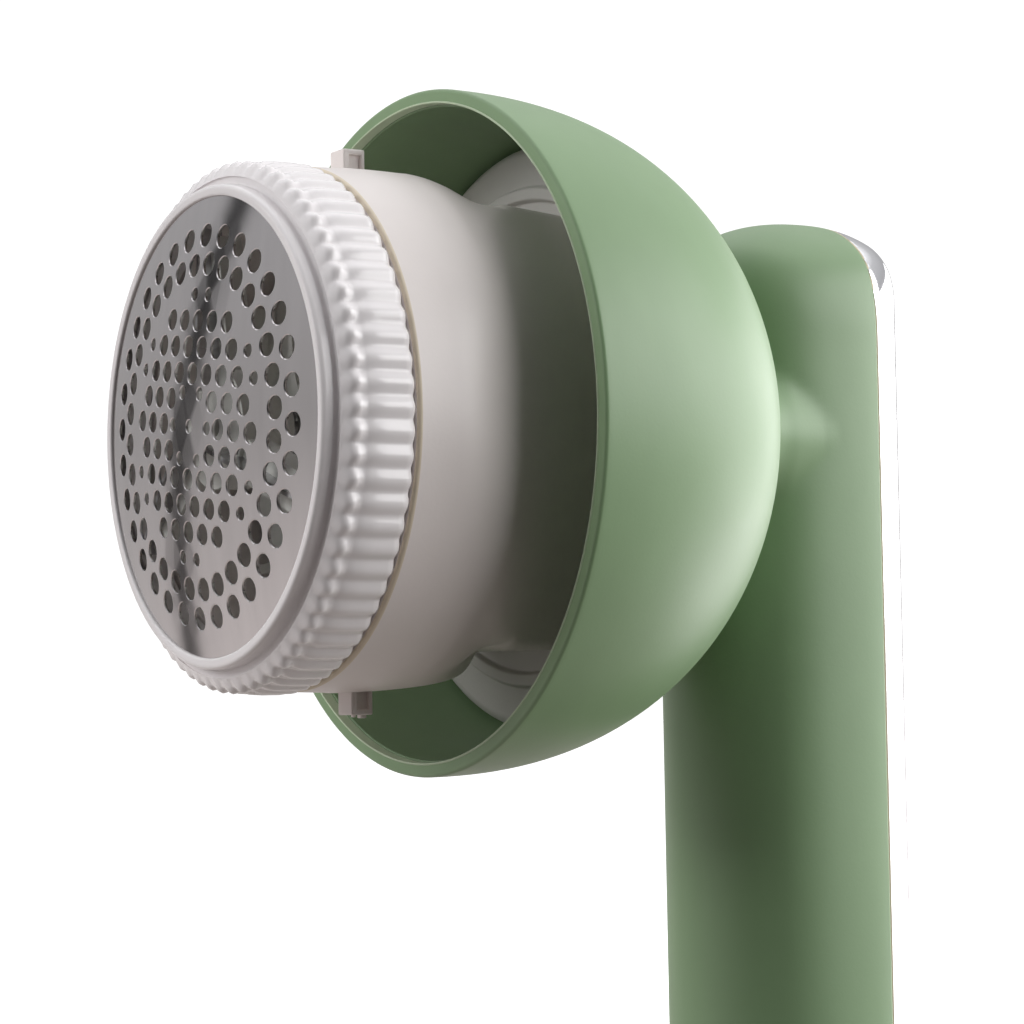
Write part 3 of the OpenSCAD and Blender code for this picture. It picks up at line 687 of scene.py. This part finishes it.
def crest_height(y):
    """The handle's top line, seen from the side: a wide front shoulder, a tighter back."""
    if y < CREST_Y:
        share, drop = (CREST_Y - y) / (CREST_Y + HANDLE_R), CREST_DROP_FRONT
    else:
        share, drop = (y - CREST_Y) / (HANDLE_R - CREST_Y), CREST_DROP_BACK
    return HANDLE_TOP - drop * (1 - (1 - min(share, 1) ** CREST_POWER) ** (1 / CREST_POWER))


def foot_radius(z):
    """The round edge around the foot."""
    if z >= FOOT_EDGE:
        return HANDLE_R
    return HANDLE_R - FOOT_EDGE + math.sqrt(FOOT_EDGE ** 2 - (FOOT_EDGE - z) ** 2)


def handle_field(x, y, z):
    """Negative inside the handle without its stem."""
    post = math.hypot(x, y) - foot_radius(z)
    arch_z = crest_height(y) - HANDLE_R
    arch = math.hypot(x, max(z - arch_z, 0)) - HANDLE_R
    return smooth_max(post, arch, 3.0)


def stem_field(x, y, z):
    """Negative inside the stem that carries the bowl, which widens towards it."""
    ahead = 1 - clamp((y - STEM_FRONT_Y) / STEM_LENGTH)
    wide = STEM_HALF_W + 2.3 * ahead
    high = STEM_HALF_H + 4.6 * ahead
    round_side = (math.hypot(x / wide, (z - HEAD_Z) / high) - 1) * STEM_LENGTH
    return max(smooth_max(round_side, STEM_FRONT_Y - y, 1.0), y)


def skin_field(x, y, z):
    """Negative inside the handle and its stem."""
    # the fillet fades out where the stem's sides run into the handle's
    fillet = STEM_FILLET * min(max(-y / 7.5, 0.02), 1)
    return smooth_min(handle_field(x, y, z), stem_field(x, y, z), fillet)


def cast(field, origin, way, reach=26.0):
    """How far a ray runs from inside a form to its surface."""
    near, far = 0.0, reach
    for _ in range(20):
        middle = (near + far) / 2
        if field(*(origin[i] + way[i] * middle for i in range(3))) < 0:
            near = middle
        else:
            far = middle
    return (near + far) / 2


def handle_rays():
    """Rows of rays: level ones up the post, then a fan over the top."""
    centre_z = HANDLE_TOP - HANDLE_R
    low_z = 2.4
    heights = [0.0, 0.12, 0.35, 0.7, 1.15, FOOT_EDGE, low_z]
    heights += [low_z + (PLAIN_TOP_Z - low_z) * i / 34 for i in range(1, 35)]
    heights += [PLAIN_TOP_Z + i * (centre_z - PLAIN_TOP_Z) / 40 for i in range(1, 40)]
    rows = [((0, 0, z), 0.0) for z in heights]
    return rows + [((0, 0, centre_z), math.pi / 2 * i / 34) for i in range(35)]


def ray_way(angle, rise):
    """The direction of a ray: an angle from the front towards +X, and a rise."""
    flat = math.cos(rise)
    return (math.sin(angle) * flat, -math.cos(angle) * flat, math.sin(rise))


def handle_skins():
    """The outer and inner surfaces as rows of points, closed at the foot and the top."""
    outer, inner = [], []
    for origin, rise in handle_rays():
        rows = ([], [])
        for i in range(HANDLE_STEPS):
            way = ray_way(TURN * i / HANDLE_STEPS, rise)
            near_head = abs(origin[2] - HEAD_Z) < STEM_ZONE
            skin = cast(skin_field if near_head else handle_field, origin, way)
            plain = cast(handle_field, origin, way) if near_head else skin
            for row, reach in zip(rows, (skin, plain - HANDLE_WALL)):
                row.append(Vector([origin[k] + way[k] * reach for k in range(3)]) * MM)
        outer.append(rows[0])
        inner.append(rows[1])
    return outer, inner


def handle_mesh():
    """The whole hollow handle as one closed mesh."""
    steps = HANDLE_STEPS
    outer, inner = handle_skins()
    bm = bmesh.new()
    grids = []
    for surface in (outer, inner):
        rows = [[bm.verts.new(p) for p in row] for row in surface[:-1]]
        pole = bm.verts.new(surface[-1][0])
        for low, high in zip(rows, rows[1:]):
            for i in range(steps):
                j = (i + 1) % steps
                bm.faces.new((low[i], low[j], high[j], high[i]))
        for i in range(steps):
            bm.faces.new((rows[-1][i], rows[-1][(i + 1) % steps], pole))
        grids.append(rows)
    for i in range(steps):
        j = (i + 1) % steps
        bm.faces.new((grids[0][0][j], grids[0][0][i], grids[1][0][i], grids[1][0][j]))
    bmesh.ops.recalc_face_normals(bm, faces=bm.faces)
    return bm


def slice_level(bm, y, **options):
    """Cuts the whole mesh by an upright plane at y, in millimetres."""
    geometry = list(bm.verts) + list(bm.edges) + list(bm.faces)
    return bmesh.ops.bisect_plane(bm, geom=geometry, plane_co=(0, y * MM, 0), dist=1e-8, **options)


def cut_half(bm, sign, edge_drop):
    """Keeps the part before (-1) or behind (1) the split, closes it and returns its edge.

    The outer edge falls away by edge_drop from a loop just inside it.
    """
    slice_level(bm, SPLIT_Y + sign * (SPLIT_GAP + SPLIT_STRIP), plane_no=(0, 1, 0))
    cut = slice_level(bm, SPLIT_Y + sign * SPLIT_GAP, plane_no=(0, sign, 0), clear_inner=True)
    edges = [e for e in cut["geom_cut"] if isinstance(e, bmesh.types.BMEdge)]
    edge_verts = {v for e in edges for v in e.verts}
    centre_z = (HANDLE_TOP - HANDLE_R) * MM
    # well between the inner and the outer surface
    outside = (math.sqrt(HANDLE_R ** 2 - SPLIT_Y ** 2) - 0.8) * MM
    for v in edge_verts:
        middle = Vector((0, v.co.y, min(v.co.z, centre_z)))
        arm = v.co - middle
        if arm.length > outside:
            v.co = middle + arm * (1 - edge_drop * MM / arm.length)
    bmesh.ops.triangle_fill(bm, edges=edges, use_beauty=True)
    bmesh.ops.recalc_face_normals(bm, faces=bm.faces)
    return edge_verts


def shell_piece(bm, name, slot, node, *more_looks):
    """Turns a finished half into a piece in place of its node."""
    mesh = bpy.data.meshes.new(name)
    bm.to_mesh(mesh)
    bm.free()
    mesh.shade_smooth()
    mesh.set_sharp_from_angle(angle=math.radians(35))
    piece = bpy.data.objects.new(name, mesh)
    bpy.context.scene.collection.objects.link(piece)
    dress(piece, "body", slot, looks[slot], *more_looks)
    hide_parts(node)
    return piece


def make_front_shell():
    bm = handle_mesh()
    cut_half(bm, -1, 0.03)
    shell_piece(bm, "handle_front_skin", "green_plastic", "handle_front_shell")


def pill(w, h, count=48):
    """A slot outline in x and z about its middle."""
    spots = []
    for i in range(count):
        a = TURN * i / count
        up = (h - w) / 2 * (1 if math.sin(a) >= 0 else -1)
        spots.append((w / 2 * math.cos(a), w / 2 * math.sin(a) + up))
    return spots


def cut_opening(piece, outline, z, name):
    """Cuts a straight opening through the back cover."""
    count = len(outline)
    verts = [Vector((x, y, z + h)) * MM for y in (HANDLE_R - 6, HANDLE_R + 4) for x, h in outline]
    faces = [(i, (i + 1) % count, count + (i + 1) % count, count + i) for i in range(count)]
    faces += [tuple(range(count - 1, -1, -1)), tuple(range(count, 2 * count))]
    cutter = make_piece(name, verts, faces)
    modifier = piece.modifiers.new("opening", "BOOLEAN")
    modifier.object = cutter
    modifier.solver = "EXACT"
    bpy.context.view_layer.update()
    finished = piece.evaluated_get(bpy.context.evaluated_depsgraph_get())
    done = bpy.data.meshes.new_from_object(finished)
    piece.modifiers.clear()
    piece.data = done
    done.name = piece.name
    bpy.data.objects.remove(cutter)


def make_back_cover():
    """The plated cover, with a painted highlight strip along its front edge and two openings."""
    bm = handle_mesh()
    edge_verts = cut_half(bm, 1, 0.13)
    # faces along the cut edge carry the painted highlight strip
    for face in bm.faces:
        face.material_index = int(any(v in edge_verts for v in face.verts))
    piece = shell_piece(bm, "handle_back_skin", "chrome", "handle_back_cover", seam_highlight)
    cut_opening(piece, pill(10.6, 20.6), BUTTON_Z, "button_cutter")
    cut_opening(piece, pill(3.0, 3.0, 32), LED_Z, "led_cutter")
    piece.data.set_sharp_from_angle(angle=math.radians(35))


# ---- the power button ----
def make_button():
    """A soft-edged pill that follows the handle's curve, on a hidden flange."""
    wide, high, flange, edge_w, edge_h = 10, 20, 1.5, 0.85, 0.55
    wall_r = HANDLE_R + 0.25
    layers = [(-flange, 10.4), (-flange, 11.85), (0, 11.85), (0, wall_r)]
    for i in range(1, 7):
        turn = math.pi / 2 * i / 6
        layers.append((edge_w * (1 - math.cos(turn)), wall_r + edge_h * math.sin(turn)))
    for inset in (1.8, 2.8, 3.8, 4.6):
        hollow = 0.18 * ((inset - edge_w) / 3.4) ** 2
        layers.append((inset, wall_r + edge_h - hollow))
    verts, count = [], 64
    for inset, radius in layers:
        for x, h in pill(wide - 2 * inset, high - 2 * inset, count):
            verts.append(Vector((x, math.sqrt(radius ** 2 - x * x), BUTTON_Z + h)) * MM)
    faces = []
    for layer in range(len(layers) - 1):
        for i in range(count):
            j = (i + 1) % count
            a, b = layer * count, (layer + 1) * count
            faces.append((a + i, a + j, b + j, b + i))
    last = (len(layers) - 1) * count
    half = count // 2
    for i in range(half - 1):
        faces.append((last + i, last + i + 1, last + count - 2 - i, last + count - 1 - i))
    faces.append(tuple(range(count - 1, -1, -1)))
    piece = make_piece("power_button_skin", verts, faces)
    weigh_normals(piece)
    dress(piece, "button", "button_green", looks["button_green"])
    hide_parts("power_button")


# ---- stage ----
def make_camera():
    """The photograph's view: a long lens from the front right, a little below the head."""
    azimuth, elevation, roll = (math.radians(a) for a in (58.134, -3.102, -0.992))
    back = Vector((math.sin(azimuth) * math.cos(elevation),
                   -math.cos(azimuth) * math.cos(elevation), math.sin(elevation)))
    level = Vector((math.cos(azimuth), math.sin(azimuth), 0))
    up = back.cross(level)
    right = level * math.cos(roll) + up * math.sin(roll)
    up = back.cross(right)
    head = Vector((0, HOLE_PLANE_Y, HEAD_Z)) * MM
    camera = bpy.data.objects.new("camera", bpy.data.cameras.new("camera"))
    camera.data.lens = 106.8
    camera.data.sensor_width = 36
    camera.data.shift_x = 0.009
    camera.data.clip_start = 0.01
    camera.matrix_world = Matrix((
        (*[v.x for v in (right, up, back)], head.x + 0.28466),
        (*[v.y for v in (right, up, back)], head.y - 0.14030),
        (*[v.z for v in (right, up, back)], head.z - 0.02654), (0, 0, 0, 1)))
    bpy.context.scene.collection.objects.link(camera)
    bpy.context.scene.camera = camera


def compass(azimuth, height):
    """A direction by its angle from the front towards +X, and its height from -1 to 1."""
    flat = math.sqrt(1 - height ** 2)
    turn = math.radians(azimuth)
    return Vector((math.sin(turn) * flat, -math.cos(turn) * flat, height))


def soft_box(name, azimuth, height, size, brightness, in_reflections=True):
    """A rectangular studio light one metre from the head and turned to it."""
    light = bpy.data.objects.new(name, bpy.data.lights.new(name, "AREA"))
    light.data.shape = "RECTANGLE"
    light.data.size, light.data.size_y = size
    light.data.energy = brightness * math.pi * size[0] * size[1]
    way = compass(azimuth, height)
    light.location = Vector((0, HOLE_PLANE_Y + 30, HEAD_Z)) * MM + way
    light.rotation_euler = way.to_track_quat("Z", "Y").to_euler()
    light.visible_camera = False
    light.visible_glossy = in_reflections
    bpy.context.scene.collection.objects.link(light)


def make_floor():
    floor = make_piece("floor", [(-6, -6, 0), (6, -6, 0), (6, 6, 0), (-6, 6, 0)], [(0, 1, 2, 3)])
    look = Look("pale_floor", 0.6)
    look.colour(look.ramp(look.noise(3), (0.9, 0.9, 0.9), (0.94, 0.94, 0.94)))
    look.shader.inputs["Emission Color"].default_value = (1, 1, 1, 1)
    look.shader.inputs["Emission Strength"].default_value = 0.6
    floor.data.materials.append(look.material)
    # the floor is seen, but it neither lights the shaver nor shades it
    floor.visible_diffuse = False
    floor.visible_glossy = False
    floor.visible_shadow = False


def room_factor(nodes, links, place, way, span, factors, both_ways=False):
    """A brightness factor for the room by how far a direction points along `way`."""
    along = nodes.new("ShaderNodeVectorMath")
    along.operation = "DOT_PRODUCT"
    along.inputs[1].default_value = way.normalized()
    links.new(place, along.inputs[0])
    value = along.outputs["Value"]
    if both_ways:
        size = nodes.new("ShaderNodeMath")
        size.operation = "ABSOLUTE"
        links.new(value, size.inputs[0])
        value = size.outputs["Value"]
    ease = nodes.new("ShaderNodeMapRange")
    ease.interpolation_type = "SMOOTHSTEP"
    for socket, setting in zip(("From Min", "From Max", "To Min", "To Max"), span + factors):
        ease.inputs[socket].default_value = setting
    links.new(value, ease.inputs["Value"])
    return ease.outputs["Result"]


def make_world():
    """White to the camera; to the shaver, a dim room under a bright ceiling."""
    world = bpy.data.worlds.new("studio")
    world.use_nodes = True
    nodes, links = world.node_tree.nodes, world.node_tree.links
    place = nodes.new("ShaderNodeTexCoord").outputs["Generated"]
    split = nodes.new("ShaderNodeSeparateXYZ")
    links.new(place, split.inputs["Vector"])
    rise = nodes.new("ShaderNodeMapRange")
    rise.inputs["From Min"].default_value = -1
    links.new(split.outputs["Z"], rise.inputs["Value"])
    sky = nodes.new("ShaderNodeValToRGB")
    stops = sky.color_ramp.elements
    stops[0].position, stops[0].color = 0, (0.4, 0.36, 0.34, 1)
    stops[1].position, stops[1].color = 1, (1.25, 1.25, 1.27, 1)
    for spot, colour in ((0.2, (0.5, 0.45, 0.43)), (0.4, (0.7, 0.65, 0.64)), (0.54, (0.4, 0.39, 0.39)),
                         (0.68, (0.46, 0.46, 0.47)), (0.78, (0.6, 0.6, 0.61)),
                         (0.84, (1.1, 1.1, 1.12))):
        stop = stops.new(spot)
        stop.color = (*colour, 1)
    links.new(rise.outputs["Result"], sky.inputs["Fac"])
    # a dark slanting strip of the room, for the foil to mirror
    strip = room_factor(nodes, links, place, compass(-60.1, 0.33).cross(compass(-66.8, 0.01)),
                        (0.012, 0.06), (0.02, 1), both_ways=True)
    # and no light from the camera's side
    camera_side = room_factor(nodes, links, place, compass(62, 0), (0.1, 0.75), (1, 0.06))
    factor = nodes.new("ShaderNodeMath")
    factor.operation = "MULTIPLY"
    links.new(strip, factor.inputs[0])
    links.new(camera_side, factor.inputs[1])
    room = nodes["Background"]
    links.new(sky.outputs["Color"], room.inputs["Color"])
    links.new(factor.outputs["Value"], room.inputs["Strength"])
    seen = nodes.new("ShaderNodeBackground")
    seen.inputs["Color"].default_value = (1, 1, 1, 1)
    seen.inputs["Strength"].default_value = 1.1
    path = nodes.new("ShaderNodeLightPath")
    mix = nodes.new("ShaderNodeMixShader")
    links.new(path.outputs["Is Camera Ray"], mix.inputs["Fac"])
    links.new(room.outputs["Background"], mix.inputs[1])
    links.new(seen.outputs["Background"], mix.inputs[2])
    links.new(mix.outputs["Shader"], nodes["World Output"].inputs["Surface"])
    bpy.context.scene.world = world


def make_stage():
    make_floor()
    make_world()
    soft_box("key_back_right", 136, 0.33, (1.15, 0.7), 3.8)
    soft_box("back_left", -172, -0.12, (1.0, 0.95), 3.0)
    soft_box("fill_left", -85, 0.3, (1.0, 0.35), 2.0, in_reflections=False)
    soft_box("fill_front", -25, 0.38, (1.0, 0.4), 3.8, in_reflections=False)
    bpy.context.scene.view_settings.view_transform = "Standard"


make_camera()
make_stage()
make_bowl()
make_plate()
make_housing()
make_ring()
make_foil()
make_front_shell()
make_back_cover()
make_button()
